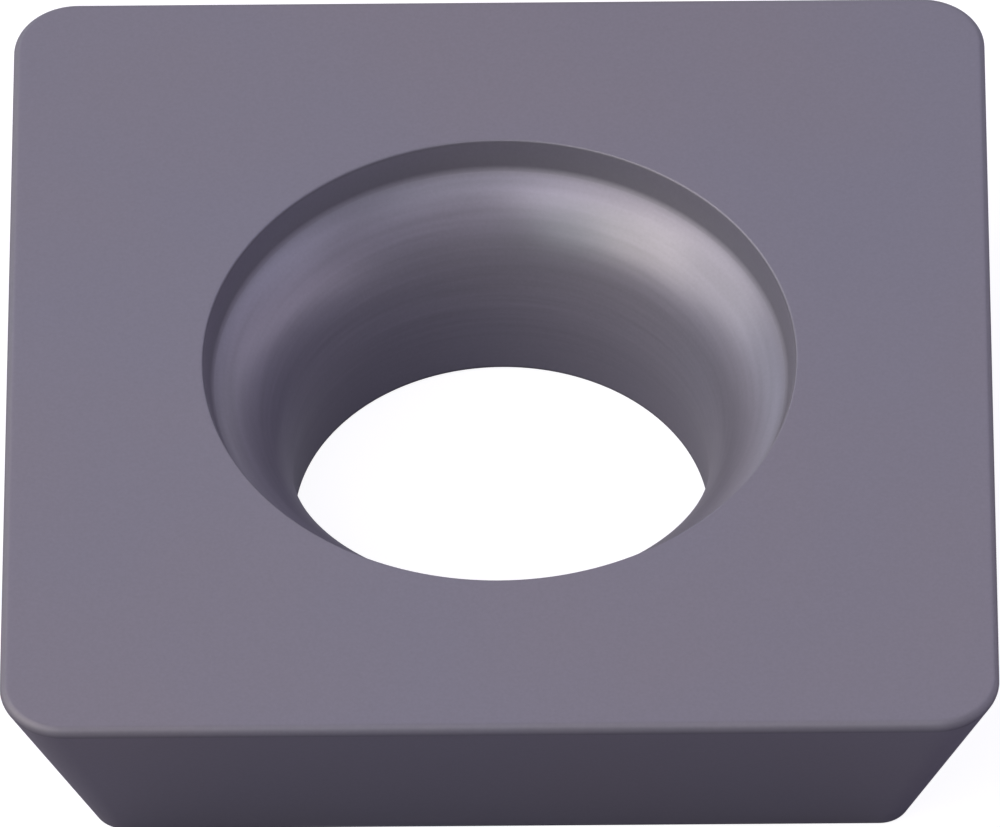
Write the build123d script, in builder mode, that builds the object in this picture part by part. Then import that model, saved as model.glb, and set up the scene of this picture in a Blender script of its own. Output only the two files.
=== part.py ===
"""Square indexable carbide insert: relieved flanks, rounded noses and a hole for a countersunk screw.

One pressed, sintered, ground and coated solid. The origin is on the hole's axis at the seating face,
+Z points up through the rake face, and the cutting edges run along X and Y.
"""
from build123d import *
from math import acos, cos, degrees, radians, sin, tan
import os

# Body, in millimetres and degrees
inscribed_circle = 12.7  # width across two opposite cutting edges
insert_thickness = 3.18  # seating face to rake face
relief_angle = 20.0  # lean of each flank, inwards and down from its cutting edge
nose_radius = 0.8  # corner rounding at the rake face
heel_radius = 0.4  # corner rounding at the seating face, where the nose has tapered down
cutting_edge_hone = 0.1  # rounding between rake face and flanks, all the way round
heel_edge_break = 0.03  # rounding round the seating face

# Screw hole
bore_diameter = 5.4  # clearance for the clamping screw's shank
seat_radius = 2.0  # section radius of the ring that the screw's head beds on
recess_diameter = 7.66  # mouth of the recess that takes the head, at the rake face
recess_depth = 0.42  # rake face to the top of the seat
recess_draft = 14.0  # lean of the recess wall
seat_mouth_fillet = 0.12  # hollow corner where the seat meets the recess wall
recess_edge_break = 0.03
bore_edge_break = 0.05

# The body is drawn to the sharp corners, which the hone then takes back to the inscribed circle
relief = radians(relief_angle)
hone_loss = cutting_edge_hone * ((1 + sin(relief)) / cos(relief) - 1)
rake_width = inscribed_circle + 2 * hone_loss
rake_corner_radius = nose_radius + hone_loss
heel_width = rake_width - 2 * insert_thickness * tan(relief)

# Section of the hole: the seat leaves the bore upright and leans out until it meets the recess wall
bore_radius = bore_diameter / 2
recess_radius = recess_diameter / 2
seat_mouth_radius = recess_radius - recess_depth * tan(radians(recess_draft))
seat_sweep = acos((bore_radius + seat_radius - seat_mouth_radius) / seat_radius)
bore_top = insert_thickness - recess_depth - seat_radius * sin(seat_sweep)

with BuildPart() as insert_body:
    # Sides ruled from the seating face's outline to the rake face's outline
    with BuildSketch():
        RectangleRounded(heel_width, heel_width, heel_radius)
    with BuildSketch(Plane.XY.offset(insert_thickness)):
        RectangleRounded(rake_width, rake_width, rake_corner_radius)
    blank = loft(ruled=True, mode=Mode.PRIVATE)

    # The ruled flanks between the noses are flat, so they become true planes
    sides = [Face(side.outer_wire()) if side.is_planar else side for side in blank.faces()]
    add(Solid(Shell(sides)))

    fillet(insert_body.faces().sort_by(Axis.Z)[-1].edges(), cutting_edge_hone)
    fillet(insert_body.faces().sort_by(Axis.Z)[0].edges(), heel_edge_break)

    # Screw hole, turned as one section
    with BuildSketch(Plane.XZ) as hole_section:
        with BuildLine():
            bore_wall = Line((bore_radius, 0), (bore_radius, bore_top))
            seat = JernArc(bore_wall @ 1, (0, 1), seat_radius, -degrees(seat_sweep))
            recess_wall = Line(seat @ 1, (recess_radius, insert_thickness))
            Polyline(recess_wall @ 1, (0, insert_thickness), (0, 0), bore_wall @ 0)
        make_face()
        seat_mouth = (seat_mouth_radius, insert_thickness - recess_depth)
        fillet(hole_section.vertices().sort_by_distance(seat_mouth)[0], seat_mouth_fillet)
    revolve(axis=Axis.Z, mode=Mode.SUBTRACT)

    # Broken edges at the hole's two mouths
    recess_mouth = insert_body.faces().sort_by(Axis.Z)[-1].inner_wires()[0]
    fillet(recess_mouth.edges(), recess_edge_break)
    bore_mouth = insert_body.faces().sort_by(Axis.Z)[0].inner_wires()[0]
    fillet(bore_mouth.edges(), bore_edge_break)

insert_body.part.label = "insert_body"

os.makedirs("parts", exist_ok=True)
export_step(insert_body.part, "parts/insert_body.step")
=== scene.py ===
# Square carbide insert with a countersunk screw hole, on a pale floor under soft studio light.
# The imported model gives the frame; its body is swept again here as a finer mesh of the same form.

import bpy
import math
from mathutils import Matrix, Vector


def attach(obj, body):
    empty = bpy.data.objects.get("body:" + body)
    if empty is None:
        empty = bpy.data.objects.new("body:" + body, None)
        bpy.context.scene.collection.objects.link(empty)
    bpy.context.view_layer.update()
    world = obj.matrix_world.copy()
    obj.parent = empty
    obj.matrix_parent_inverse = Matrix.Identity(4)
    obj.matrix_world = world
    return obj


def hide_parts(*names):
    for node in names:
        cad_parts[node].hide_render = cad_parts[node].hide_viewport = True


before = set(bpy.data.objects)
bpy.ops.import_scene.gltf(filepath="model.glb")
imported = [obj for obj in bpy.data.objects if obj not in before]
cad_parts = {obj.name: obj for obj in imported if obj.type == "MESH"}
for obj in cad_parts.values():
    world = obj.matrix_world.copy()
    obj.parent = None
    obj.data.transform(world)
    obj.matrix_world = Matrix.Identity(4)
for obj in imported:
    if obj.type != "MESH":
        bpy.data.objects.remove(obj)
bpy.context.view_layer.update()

scene = bpy.context.scene
mm = 0.001
print("frame loaded:", ", ".join(sorted(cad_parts)))


def linearColour(hexColour):
    # sRGB hex to the linear values that the shaders work in
    channels = [int(hexColour[i:i + 2], 16) / 255 for i in (1, 3, 5)]
    linear = [c / 12.92 if c <= 0.04045 else ((c + 0.055) / 1.055) ** 2.4 for c in channels]
    return (*linear, 1.0)


def addNode(tree, nodeType, settings=None, inputs=None):
    # one node with its settings; each input gets a value, or the node or socket that feeds it
    node = tree.nodes.new(nodeType)
    for name, value in (settings or {}).items():
        setattr(node, name, value)
    for name, value in (inputs or {}).items():
        if isinstance(value, bpy.types.Node):
            value = value.outputs[0]
        if isinstance(value, bpy.types.NodeSocket):
            tree.links.new(value, node.inputs[name])
        else:
            node.inputs[name].default_value = value
    return node


camera = {
    "elevation": 47.867,     # degrees above the rake face
    "turn": 0.675,           # degrees round the insert, from straight in front
    "roll": 0.932,           # degrees
    "distance": 250.0,       # mm; a long lens keeps the square's sides nearly parallel
    "lens": 698.17,          # mm
    "sensor": 36.0,          # mm
    "target": (0, 0, 3.18),  # mm, the middle of the rake face
    "aim": (0.002, 0.719),   # mm right and down from there
    "clip": (10, 20000),     # mm
}


def placeCamera(settings):
    up = math.radians(settings["elevation"])
    turn = Matrix.Rotation(math.radians(settings["turn"]), 3, "Z")
    ahead = turn @ Vector((0, math.cos(up), -math.sin(up)))
    right = turn @ Vector((1, 0, 0))
    above = right.cross(ahead)
    aimRight, aimDown = settings["aim"]
    target = Vector(settings["target"]) * mm
    place = target - ahead * settings["distance"] * mm - (right * aimRight + above * aimDown) * mm
    tilt = Matrix.Rotation(math.radians(-settings["roll"]), 3, "Z")
    axes = Matrix((right, above, -ahead)).transposed() @ tilt
    data = bpy.data.cameras.new("studioCamera")
    data.sensor_width = settings["sensor"]
    data.lens = settings["lens"]
    data.clip_start, data.clip_end = (reach * mm for reach in settings["clip"])
    studioCamera = bpy.data.objects.new("studioCamera", data)
    studioCamera.matrix_world = Matrix.Translation(place) @ axes.to_4x4()
    scene.collection.objects.link(studioCamera)
    scene.camera = studioCamera


placeCamera(camera)
print("camera placed")

coating = {
    "warm": "#7c7785",          # the two ends of the coat's faint drift in tint
    "cool": "#7a7787",
    "drift": 4.0,               # mm across one patch of tint
    "noiseSpan": (0.3, 0.7),    # nearly all of each noise lies between these
    "metallic": 0.4,            # the nitride mirrors in part as a metal does and scatters the rest
    "roughness": (0.41, 0.43),  # lowest and highest over the drift
    "holeRoughness": 0.34,      # the hole is left as the polished punch pressed it
    "honedRoughness": 0.58,     # brushed edges, and the hollow corner that no polish reaches
    "honedPaintedShade": 0.80,         # painted shade: the honed edges and the hollow corner are darkened in colour to tone down their highlights
    "honeFade": (3.18, 3.168),  # mm, levels between which the brushing and its painted shade set in below the rake face
    "grain": 0.045,             # mm, carbide grains are near 0.001 and are drawn this coarse to show
    "grainShade": 0.05,         # share of brightness between the darkest and the palest grain
    "grainHeight": 0.0003,      # mm
    "streakWidth": 0.08,        # mm, polishing marks round the screw seat
    "streakLength": 3.0,        # mm
    "streakRing": 3.3,          # mm, mean radius of the seat that they run round
    "streakShade": 0.12,
    "streakHeight": 0.0009,     # mm
}


def coatedCarbide(finish):
    # Tungsten carbide, pressed, sintered and ground, under a titanium aluminium nitride coat laid by PVD:
    # to the eye a satin violet grey with a soft metallic sheen, sandy close up, ringed by polishing marks
    # in the screw seat, duller on the brushed cutting edges, whose colour is also darkened there as painted
    # shade.
    low, high = finish["noiseSpan"]
    material = bpy.data.materials.new("nitrideCoatedCarbide")
    material.use_nodes = True
    tree = material.node_tree
    shader = tree.nodes["Principled BSDF"]
    shader.inputs["Metallic"].default_value = finish["metallic"]
    place = addNode(tree, "ShaderNodeTexCoord").outputs["Object"]
    onSeat = addNode(tree, "ShaderNodeAttribute", {"attribute_name": "seat"}).outputs["Fac"]
    inHole = addNode(tree, "ShaderNodeAttribute", {"attribute_name": "hole"}).outputs["Fac"]
    onEdge = addNode(tree, "ShaderNodeAttribute", {"attribute_name": "edge"}).outputs["Fac"]
    parts = addNode(tree, "ShaderNodeSeparateXYZ", None, {0: place})
    fadeStart, fadeEnd = (level * mm for level in finish["honeFade"])
    below = addNode(tree, "ShaderNodeMapRange", None,
                    {"Value": parts.outputs["Z"], "From Min": fadeStart, "From Max": fadeEnd})
    honedAndShaded = addNode(tree, "ShaderNodeMath", {"operation": "MULTIPLY"}, {0: onEdge, 1: below})

    # slow drift of tint and gloss over the coat
    drift = addNode(tree, "ShaderNodeTexNoise", None,
                    {"Vector": place, "Scale": 1 / (finish["drift"] * mm), "Detail": 2.0})
    drift = addNode(tree, "ShaderNodeMapRange", None,
                    {"Value": drift, "From Min": low, "From Max": high})
    tint = addNode(tree, "ShaderNodeValToRGB", None, {"Fac": drift})
    tint.color_ramp.elements[0].color = linearColour(finish["cool"])
    tint.color_ramp.elements[1].color = linearColour(finish["warm"])

    # sintered grain
    grain = addNode(tree, "ShaderNodeTexNoise", None,
                    {"Vector": place, "Scale": 1 / (finish["grain"] * mm),
                     "Detail": 1.0, "Roughness": 0.6})
    grainShade = addNode(tree, "ShaderNodeMapRange", {"clamp": False},
                         {"Value": grain, "From Min": low, "From Max": high,
                          "To Min": 1 - finish["grainShade"] / 2, "To Max": 1 + finish["grainShade"] / 2})

    # polishing marks: noise drawn out round the hole's axis and kept narrow up the seat
    flat = addNode(tree, "ShaderNodeVectorMath", {"operation": "MULTIPLY"}, {0: place, 1: (1, 1, 0)})
    way = addNode(tree, "ShaderNodeVectorMath", {"operation": "NORMALIZE"}, {0: flat})
    narrow = addNode(tree, "ShaderNodeMath", {"operation": "MULTIPLY"},
                     {0: parts.outputs["Z"], 1: 1 / (finish["streakWidth"] * mm)})
    around = addNode(tree, "ShaderNodeVectorMath", {"operation": "SCALE"},
                     {0: way, "Scale": finish["streakRing"] / finish["streakLength"]})
    upward = addNode(tree, "ShaderNodeCombineXYZ", None, {"Z": narrow})
    along = addNode(tree, "ShaderNodeVectorMath", {"operation": "ADD"}, {0: around, 1: upward})
    streak = addNode(tree, "ShaderNodeTexNoise", None,
                     {"Vector": along, "Scale": 1.0, "Detail": 2.0, "Roughness": 0.55})
    streakShade = addNode(tree, "ShaderNodeMapRange", {"clamp": False},
                          {"Value": streak, "From Min": low, "From Max": high,
                           "To Min": 1 - finish["streakShade"] / 2, "To Max": 1 + finish["streakShade"] / 2})
    streakShade = addNode(tree, "ShaderNodeMix", {"data_type": "FLOAT"},
                          {"Factor": onSeat, 2: 1.0, 3: streakShade})

    # painted shade: the edges' colour is darkened, which tones down their highlights
    edgePaintedShade = addNode(tree, "ShaderNodeMapRange", None,
                        {"Value": honedAndShaded, "To Min": 1.0, "To Max": finish["honedPaintedShade"]})
    shade = addNode(tree, "ShaderNodeMath", {"operation": "MULTIPLY"}, {0: grainShade, 1: streakShade})
    shade = addNode(tree, "ShaderNodeMath", {"operation": "MULTIPLY"}, {0: shade, 1: edgePaintedShade})
    colour = addNode(tree, "ShaderNodeVectorMath", {"operation": "SCALE"}, {0: tint, "Scale": shade})
    tree.links.new(colour.outputs[0], shader.inputs["Base Color"])

    smoothest, roughest = finish["roughness"]
    gloss = addNode(tree, "ShaderNodeMapRange", None,
                    {"Value": drift, "To Min": smoothest, "To Max": roughest})
    gloss = addNode(tree, "ShaderNodeMix", {"data_type": "FLOAT"},
                    {"Factor": inHole, 2: gloss, 3: finish["holeRoughness"]})
    gloss = addNode(tree, "ShaderNodeMix", {"data_type": "FLOAT"},
                    {"Factor": honedAndShaded, 2: gloss, 3: finish["honedRoughness"]})
    tree.links.new(gloss.outputs[0], shader.inputs["Roughness"])

    marks = addNode(tree, "ShaderNodeMath", {"operation": "MULTIPLY"}, {0: streak, 1: onSeat})
    ground = addNode(tree, "ShaderNodeBump", None,
                     {"Height": marks, "Distance": finish["streakHeight"] * mm, "Strength": 1.0})
    sandy = addNode(tree, "ShaderNodeBump", None,
                    {"Height": grain, "Distance": finish["grainHeight"] * mm,
                     "Strength": 1.0, "Normal": ground})
    tree.links.new(sandy.outputs[0], shader.inputs["Normal"])
    return material


insert = {                     # in mm, but for the angles and the numbers of steps
    "inscribedCircle": 12.7,   # across two opposite cutting edges
    "thickness": 3.18,
    "relief": 20.0,            # degrees
    "noseRadius": 0.8,
    "heelRadius": 0.4,
    "hone": 0.1,
    "heelBreak": 0.03,
    "bore": 5.4,
    "seatRadius": 2.0,
    "seatMouthFillet": 0.12,
    "recess": 7.66,
    "recessDepth": 0.42,
    "recessDraft": 14.0,       # degrees
    "recessBreak": 0.03,
    "boreBreak": 0.05,
    "boreStrip": 0.08,         # plain face kept on both sides of each rounded corner
    "heelStrip": (0.05, 0.06),    # inwards, then up the flank
    "honeStrip": 0.17,
    "mouthStrip": (0.05, 0.06),   # outwards, then down the recess wall
    "sideSteps": 24,           # divisions along each side
    "noseSteps": 24,           # divisions round each nose
    "weld": 0.0002,            # points nearer than this are one
    "crease": 30.0,            # degrees; sharper bends than this stay sharp in the shading
}


def drawSection(size):
    # closed section of the body in x and z, and the corner centre's level and place at the heel and the rake
    relief = math.radians(size["relief"])
    lean, thick, hone = math.tan(relief), size["thickness"], size["hone"]
    honeLoss = hone * ((1 + math.sin(relief)) / math.cos(relief) - 1)
    rakeHalf = size["inscribedCircle"] / 2 + honeLoss
    heelHalf = rakeHalf - thick * lean
    bore, recess, seat = size["bore"] / 2, size["recess"] / 2, size["seatRadius"]
    draft, ball = math.radians(size["recessDraft"]), size["seatMouthFillet"]
    recessFoot = recess - size["recessDepth"] * math.tan(draft)
    seatCentre = thick - size["recessDepth"] - math.sqrt(seat ** 2 - (bore + seat - recessFoot) ** 2)
    # the seat's arc stops where a ball in the hollow corner touches both the seat and the recess wall
    toWall = (bore + seat - recess) * math.cos(draft) + (thick - seatCentre) * math.sin(draft)
    sweep = math.acos((ball + toWall) / (seat + ball)) + draft
    seatCorner = seatCentre + seat * math.tan(sweep / 2)
    reach = ball * math.tan((sweep - draft) / 2)
    mouthX = bore + seat * (1 - math.cos(sweep)) + reach * math.sin(sweep)
    mouthZ = seatCentre + seat * math.sin(sweep) + reach * math.cos(sweep)
    boreStrip, honeStrip = size["boreStrip"], size["honeStrip"]
    heelIn, heelUp = size["heelStrip"]
    mouthOut, mouthDown = size["mouthStrip"]
    points = [  # x, z, rounding, steps of it, follows the square, on an edge, in the hole, on the seat
        (bore, 0, size["boreBreak"], 6, 0, 1, 0, 0),
        (bore + boreStrip, 0, 0, 0, 0, 0, 0, 0),
        (heelHalf - heelIn, 0, 0, 0, 1, 0, 0, 0),
        (heelHalf, 0, size["heelBreak"], 5, 1, 1, 0, 0),
        (heelHalf + heelUp * lean, heelUp, 0, 0, 1, 0, 0, 0),
        (rakeHalf - honeStrip * lean, thick - honeStrip, 0, 0, 1, 0, 0, 0),
        (rakeHalf, thick, hone, 12, 1, 1, 0, 0),
        (rakeHalf - honeStrip, thick, 0, 0, 1, 0, 0, 0),
        (recess + mouthOut, thick, 0, 0, 0, 0, 0, 0),
        (recess, thick, size["recessBreak"], 6, 0, 1, 0, 0),
        (recess - mouthDown * math.tan(draft), thick - mouthDown, 0, 0, 0, 0, 1, 0),
        (mouthX, mouthZ, ball, 6, 0, 1, 1, 0),
        (bore, seatCorner, seat, 28, 0, 0, 1, 1),
        (bore, boreStrip, 0, 0, 0, 0, 1, 0),
    ]
    wire = bpy.data.meshes.new("insertSection")
    wire.from_pydata([(x * mm, 0, z * mm) for x, z, *_ in points],
                     [(i, (i + 1) % len(points)) for i in range(len(points))], [])
    for column, name in enumerate(("rounding", "steps", "square", "edge", "hole", "seat"), 2):
        layer = wire.attributes.new(name, "INT" if name == "steps" else "FLOAT", "POINT")
        unit = mm if name == "rounding" else 1
        layer.data.foreach_set("value", [point[column] * unit for point in points])
    heelLevel = size["heelBreak"] * (1 - math.sin(relief))
    rakeLevel = thick - hone * (1 + math.sin(relief))
    heelCore, rakeCore = heelHalf - size["heelRadius"], rakeHalf - size["noseRadius"] - honeLoss
    levels = [(level, heelCore + (rakeCore - heelCore) * level / thick) for level in (heelLevel, rakeLevel)]
    return wire, levels


def sweepTree():
    # Sweeps the section once round. Points that follow the square run round one with rounded corners,
    # whose centres move out with height; the others run round the hole's circle.
    tree = bpy.data.node_groups.new("insertSweep", "GeometryNodeTree")
    tree.interface.new_socket("Body", in_out="OUTPUT", socket_type="NodeSocketGeometry")
    for name, kind in (("Section", "Geometry"), ("Side Steps", "Int"), ("Nose Steps", "Int"),
                       ("Heel Level", "Float"), ("Heel Core", "Float"),
                       ("Rake Level", "Float"), ("Rake Core", "Float"),
                       ("Weld", "Float"), ("Crease Angle", "Float"), ("Coating", "Material")):
        tree.interface.new_socket(name, in_out="INPUT", socket_type="NodeSocket" + kind)
    given = addNode(tree, "NodeGroupInput").outputs

    # the section as a curve with its corners rounded
    wire = addNode(tree, "GeometryNodeMeshToCurve", None, {"Mesh": given["Section"]})
    rounding = addNode(tree, "GeometryNodeInputNamedAttribute", {"data_type": "FLOAT"},
                       {"Name": "rounding"})
    steps = addNode(tree, "GeometryNodeInputNamedAttribute", {"data_type": "INT"}, {"Name": "steps"})
    rounded = addNode(tree, "GeometryNodeFilletCurve", {"mode": "POLY"},
                      {"Curve": wire, "Radius": rounding, "Count": steps})
    section = addNode(tree, "GeometryNodeCaptureAttribute")
    section.capture_items.new("VECTOR", "Place")
    tree.links.new(rounded.outputs[0], section.inputs["Geometry"])
    tree.links.new(addNode(tree, "GeometryNodeInputPosition").outputs[0], section.inputs["Place"])

    # a ring of steps for it to go round
    quarterSteps = addNode(tree, "ShaderNodeMath", {"operation": "ADD"},
                           {0: given["Side Steps"], 1: given["Nose Steps"]})
    allSteps = addNode(tree, "ShaderNodeMath", {"operation": "MULTIPLY"}, {0: quarterSteps, 1: 4})
    ringRadius = 10 * mm   # any size will do, since every point is placed anew below
    ring = addNode(tree, "GeometryNodeCurvePrimitiveCircle", {"mode": "RADIUS"},
                   {"Resolution": allSteps, "Radius": ringRadius})
    path = addNode(tree, "GeometryNodeCaptureAttribute")
    path.capture_items.new("FLOAT", "Step")
    tree.links.new(ring.outputs[0], path.inputs["Geometry"])
    tree.links.new(addNode(tree, "GeometryNodeInputIndex").outputs[0], path.inputs["Step"])
    swept = addNode(tree, "GeometryNodeCurveToMesh", None,
                    {"Curve": path.outputs["Geometry"], "Profile Curve": section.outputs["Geometry"]})

    # each step's quarter, counted from the middle of a side, and how far it is into that quarter
    step = path.outputs["Step"]
    quarter = addNode(tree, "ShaderNodeMath", {"operation": "DIVIDE"}, {0: step, 1: quarterSteps})
    quarter = addNode(tree, "ShaderNodeMath", {"operation": "FLOOR"}, {0: quarter})
    quarterAngle = addNode(tree, "ShaderNodeMath", {"operation": "MULTIPLY"},
                           {0: quarter, 1: math.pi / 2})
    inQuarter = addNode(tree, "ShaderNodeMath", {"operation": "MODULO"}, {0: step, 1: quarterSteps})
    halfSide = addNode(tree, "ShaderNodeMath", {"operation": "DIVIDE"}, {0: given["Side Steps"], 1: 2})
    noseEnd = addNode(tree, "ShaderNodeMath", {"operation": "ADD"},
                      {0: halfSide, 1: given["Nose Steps"]})

    # the corner's centre, on a square of half width 1
    upSide = addNode(tree, "ShaderNodeMapRange", None, {"Value": inQuarter, "From Max": halfSide})
    alongTop = addNode(tree, "ShaderNodeMapRange", None,
                       {"Value": inQuarter, "From Min": noseEnd, "From Max": quarterSteps,
                        "To Min": 1, "To Max": 0})
    core = addNode(tree, "ShaderNodeCombineXYZ", None, {"X": alongTop, "Y": upSide})
    core = addNode(tree, "ShaderNodeVectorRotate", {"rotation_type": "Z_AXIS"},
                   {"Vector": core, "Angle": quarterAngle})

    # the way that the square's outline faces, and the same step's way out from the hole
    noseAngle = addNode(tree, "ShaderNodeMapRange", None,
                        {"Value": inQuarter, "From Min": halfSide, "From Max": noseEnd,
                         "To Max": math.pi / 2})
    faceAngle = addNode(tree, "ShaderNodeMath", {"operation": "ADD"}, {0: noseAngle, 1: quarterAngle})
    facing = addNode(tree, "ShaderNodeVectorRotate", {"rotation_type": "Z_AXIS"},
                     {"Vector": (1, 0, 0), "Angle": faceAngle})
    turn = addNode(tree, "ShaderNodeMath", {"operation": "DIVIDE"}, {0: step, 1: allSteps})
    turn = addNode(tree, "ShaderNodeMath", {"operation": "MULTIPLY"}, {0: turn, 1: 2 * math.pi})
    outward = addNode(tree, "ShaderNodeVectorRotate", {"rotation_type": "Z_AXIS"},
                      {"Vector": (1, 0, 0), "Angle": turn})

    # where every point goes
    drawn = addNode(tree, "ShaderNodeSeparateXYZ", None, {0: section.outputs["Place"]})
    coreSize = addNode(tree, "ShaderNodeMapRange", None,
                       {"Value": drawn.outputs["Z"],
                        "From Min": given["Heel Level"], "From Max": given["Rake Level"],
                        "To Min": given["Heel Core"], "To Max": given["Rake Core"]})
    cornerSize = addNode(tree, "ShaderNodeMath", {"operation": "SUBTRACT"},
                         {0: drawn.outputs["X"], 1: coreSize})
    centre = addNode(tree, "ShaderNodeVectorMath", {"operation": "SCALE"}, {0: core, "Scale": coreSize})
    fromCentre = addNode(tree, "ShaderNodeVectorMath", {"operation": "SCALE"},
                         {0: facing, "Scale": cornerSize})
    onSquare = addNode(tree, "ShaderNodeVectorMath", {"operation": "ADD"}, {0: centre, 1: fromCentre})
    onCircle = addNode(tree, "ShaderNodeVectorMath", {"operation": "SCALE"},
                       {0: outward, "Scale": drawn.outputs["X"]})
    square = addNode(tree, "GeometryNodeInputNamedAttribute", {"data_type": "FLOAT"},
                     {"Name": "square"})
    flat = addNode(tree, "GeometryNodeSwitch", {"input_type": "VECTOR"},
                   {"Switch": square, "False": onCircle, "True": onSquare})
    height = addNode(tree, "ShaderNodeCombineXYZ", None, {"Z": drawn.outputs["Z"]})
    final = addNode(tree, "ShaderNodeVectorMath", {"operation": "ADD"}, {0: flat, 1: height})
    placed = addNode(tree, "GeometryNodeSetPosition", None, {"Geometry": swept, "Position": final})
    # two roundings that meet leave a doubled point, and the sweep comes out inside out
    welded = addNode(tree, "GeometryNodeMergeByDistance", None,
                     {"Geometry": placed, "Distance": given["Weld"]})
    turned = addNode(tree, "GeometryNodeFlipFaces", None, {"Mesh": welded})

    # creases stay sharp, the rest is shaded smooth
    smooth = addNode(tree, "GeometryNodeSetShadeSmooth", {"domain": "FACE"},
                     {0: turned, "Shade Smooth": True})
    bend = addNode(tree, "GeometryNodeInputMeshEdgeAngle")
    sharp = addNode(tree, "FunctionNodeCompare", {"operation": "GREATER_THAN"},
                    {0: bend, 1: given["Crease Angle"]})
    creased = addNode(tree, "GeometryNodeSetShadeSmooth", {"domain": "EDGE"},
                      {0: smooth, "Selection": sharp, "Shade Smooth": False})
    real = addNode(tree, "GeometryNodeRealizeInstances", None, {0: creased})
    coated = addNode(tree, "GeometryNodeSetMaterial", None,
                     {"Geometry": real, "Material": given["Coating"]})
    addNode(tree, "NodeGroupOutput", None, {"Body": coated})
    return tree


def buildInsert(size, coat):
    wire, (heel, rake) = drawSection(size)
    draft = bpy.data.objects.new("insertDraft", wire)
    scene.collection.objects.link(draft)
    sweep = draft.modifiers.new("sweep", "NODES")
    sweep.node_group = sweepTree()
    sockets = {item.name: item.identifier for item in sweep.node_group.interface.items_tree
               if item.in_out == "INPUT"}
    for name, value in (("Side Steps", size["sideSteps"]), ("Nose Steps", size["noseSteps"]),
                        ("Heel Level", heel[0] * mm), ("Heel Core", heel[1] * mm),
                        ("Rake Level", rake[0] * mm), ("Rake Core", rake[1] * mm),
                        ("Weld", size["weld"] * mm), ("Crease Angle", math.radians(size["crease"])),
                        ("Coating", coat)):
        sweep[sockets[name]] = value
    evaluated = draft.evaluated_get(bpy.context.evaluated_depsgraph_get())
    mesh = bpy.data.meshes.new_from_object(evaluated)
    bpy.data.objects.remove(draft)
    mesh.name = "coatedInsert"
    body = bpy.data.objects.new("coatedInsert", mesh)
    scene.collection.objects.link(body)
    return body


body = buildInsert(insert, coatedCarbide(coating))
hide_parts("insert_body")
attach(body, "root")
print("insert swept:", len(body.data.vertices), "points,", len(body.data.polygons), "faces")

studio = {
    "floor": "#7f7b8a",      # painted shade: the dark violet that the coat mirrors close by, where the insert shades its own floor
    "whiteness": 0.90,       # added to the floor where it is seen, 1 is white
    "ownShade": (10, 28),    # mm from the hole's axis over which that painted shade ends
    "underBore": 0.1,        # share of that light left under the bore, as painted light
    "floorHalf": 3000,       # mm
    "floorDrop": 0.02,       # mm under the heel face, so that the two faces never share a plane
    "dim": 0.02,             # the tent where it isn't seen
    "paleWall": (0.17, 0.40),      # sines of the heights between which the wall that metal mirrors fades out
    "opening": (-0.75, -0.35),     # the same towards the front, which is open
    "lampDistance": 250,     # mm
    "lamps": {               # turn and height in degrees, size in mm, level, colour
        "keyWide": (176, 34, (182, 182), 2.69, "#fffcef"),
        "keyCore": (208, 36, (125, 153), 3.55, "#fffce8"),
        "keyEnd": (236, 36, (125, 153), 1.68, "#eefff1"),
        "keyTop": (205, 62, (350, 79), 2.37, "#fff5f5"),
        "back": (90, 50, (420, 115), 0.90, "#f2eeff"),
        "lowBack": (130, 18, (289, 106), 0.73, "#e1f2ff"),
        "lowRight": (5, 18, (289, 106), 0.79, "#feefff"),
        "highRight": (20, 45, (233, 115), 1.50, "#f0efff"),
        "highFront": (275, 66, (233, 97), 1.42, "#eff5ff"),
        "front": (300, 38, (289, 153), 0.54, "#f0ebff"),
    },
}


def addSeen(tree, mirroredShare):
    # 1 for what is looked at, straight or through something, and the given share for what is mirrored
    ray = addNode(tree, "ShaderNodeLightPath").outputs
    mirrored = addNode(tree, "ShaderNodeMath", {"operation": "MULTIPLY"},
                       {0: ray["Is Glossy Ray"], 1: mirroredShare})
    seen = addNode(tree, "ShaderNodeMath", {"operation": "ADD"}, {0: ray["Is Camera Ray"], 1: mirrored})
    return addNode(tree, "ShaderNodeMath", {"operation": "ADD", "use_clamp": True},
                   {0: seen, 1: ray["Is Transmission Ray"]})


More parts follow.
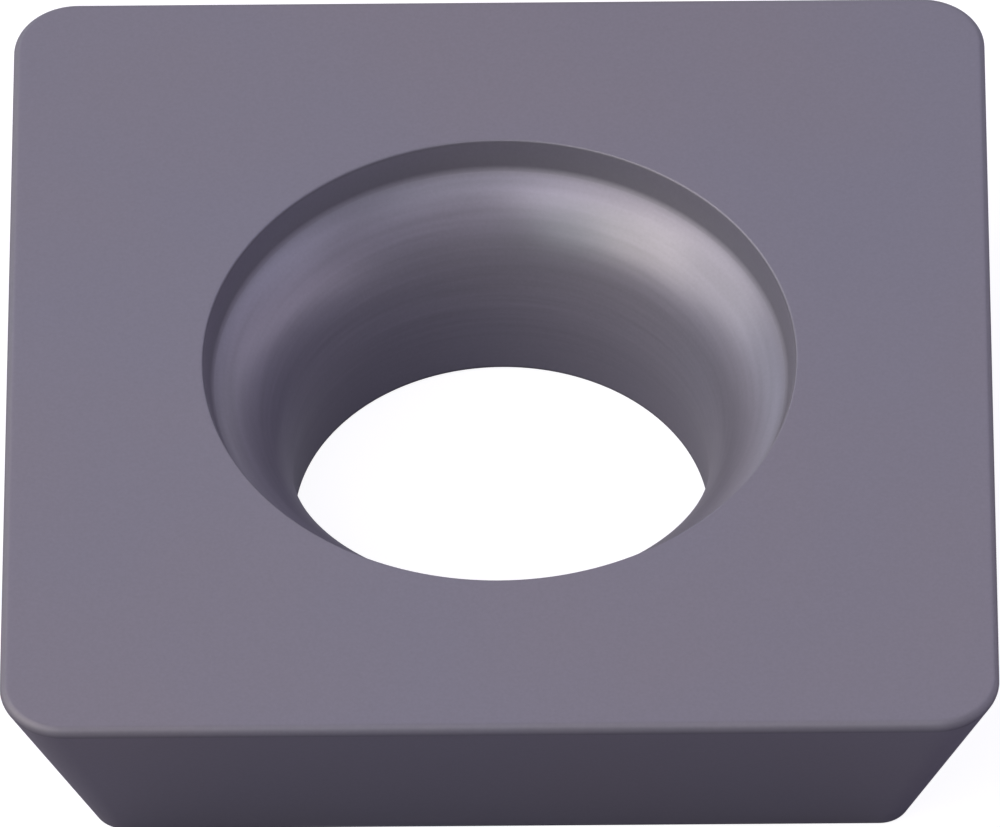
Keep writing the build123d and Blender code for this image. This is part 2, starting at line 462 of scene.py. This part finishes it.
def buildFloor(settings):
    half, level = settings["floorHalf"] * mm, -settings["floorDrop"] * mm
    mesh = bpy.data.meshes.new("floor")
    corners = [(x * half, y * half, level) for x, y in ((-1, -1), (1, -1), (1, 1), (-1, 1))]
    mesh.from_pydata(corners, [], [(0, 1, 2, 3)])
    floor = bpy.data.objects.new("floor", mesh)
    scene.collection.objects.link(floor)
    # matt paper, white where it is seen, mirrored or seen through something, with the insert's shadow on it;
    # near the insert, what metal mirrors has a painted shadow
    material = bpy.data.materials.new("paleFloor")
    material.use_nodes = True
    tree = material.node_tree
    tree.nodes.remove(tree.nodes["Principled BSDF"])
    place = addNode(tree, "ShaderNodeTexCoord").outputs["Object"]
    away = addNode(tree, "ShaderNodeVectorMath", {"operation": "LENGTH"}, {0: place}).outputs["Value"]
    # painted shadow: within ownShade the mirrored white is left out, so the coat mirrors the dark floor
    # colour there; a little painted light stays under the bore
    shadeStart, shadeEnd = (reach * mm for reach in settings["ownShade"])
    clearOfPaintedShade = addNode(tree, "ShaderNodeMapRange", None,
                    {"Value": away, "From Min": shadeStart, "From Max": shadeEnd})
    inBore = addNode(tree, "ShaderNodeMath", {"operation": "LESS_THAN"},
                     {0: away, 1: insert["bore"] / 2 * mm})
    clearOfPaintedShade = addNode(tree, "ShaderNodeMath", {"operation": "MULTIPLY_ADD"},
                    {0: inBore, 1: settings["underBore"], 2: clearOfPaintedShade})
    seen = addSeen(tree, clearOfPaintedShade)
    glow = addNode(tree, "ShaderNodeMath", {"operation": "MULTIPLY"},
                   {0: seen, 1: settings["whiteness"]})
    glow = addNode(tree, "ShaderNodeEmission", None, {"Color": (1, 1, 1, 1), "Strength": glow})
    paper = addNode(tree, "ShaderNodeBsdfDiffuse", None, {"Color": linearColour(settings["floor"])})
    both = addNode(tree, "ShaderNodeAddShader", None, {0: paper, 1: glow})
    tree.links.new(both.outputs[0], tree.nodes["Material Output"].inputs["Surface"])
    mesh.materials.append(material)


def buildTent(settings):
    # a light tent: white where it is seen, and metal mirrors its pale wall all round but for the open front
    world = bpy.data.worlds.new("lightTent")
    scene.world = world
    world.use_nodes = True
    tree = world.node_tree
    way = addNode(tree, "ShaderNodeTexCoord").outputs["Generated"]
    way = addNode(tree, "ShaderNodeSeparateXYZ", None, {0: way}).outputs
    wallStart, wallEnd = settings["paleWall"]
    wall = addNode(tree, "ShaderNodeMapRange", None,
                   {"Value": way["Z"], "From Min": wallStart, "From Max": wallEnd, "To Min": 1, "To Max": 0})
    openEnd, openStart = settings["opening"]
    closed = addNode(tree, "ShaderNodeMapRange", None,
                     {"Value": way["Y"], "From Min": openEnd, "From Max": openStart})
    pale = addNode(tree, "ShaderNodeMath", {"operation": "MULTIPLY"}, {0: wall, 1: closed})
    seen = addSeen(tree, pale)
    level = addNode(tree, "ShaderNodeMapRange", None,
                    {"Value": seen, "To Min": settings["dim"], "To Max": 1.0})
    tree.links.new(level.outputs[0], tree.nodes["Background"].inputs["Strength"])
    tree.nodes["Background"].inputs["Color"].default_value = (1, 1, 1, 1)


def hangLamps(settings):
    for name, (turn, height, size, level, colour) in settings["lamps"].items():
        data = bpy.data.lights.new(name, "AREA")
        data.shape = "RECTANGLE"
        data.size, data.size_y = size[0] * mm, size[1] * mm
        data.color = linearColour(colour)[:3]
        data.energy = level * data.size * data.size_y * math.pi   # at level 1 the lamp's face is white
        turn, height = math.radians(turn), math.radians(height)
        way = Vector((math.cos(turn) * math.cos(height), math.sin(turn) * math.cos(height),
                      math.sin(height)))
        lamp = bpy.data.objects.new(name, data)
        lamp.location = way * settings["lampDistance"] * mm
        lamp.rotation_euler = way.to_track_quat("Z", "Y").to_euler()
        scene.collection.objects.link(lamp)


buildFloor(studio)
buildTent(studio)
hangLamps(studio)
scene.view_settings.view_transform = "Standard"
print("studio lit by", len(studio["lamps"]), "lamps")
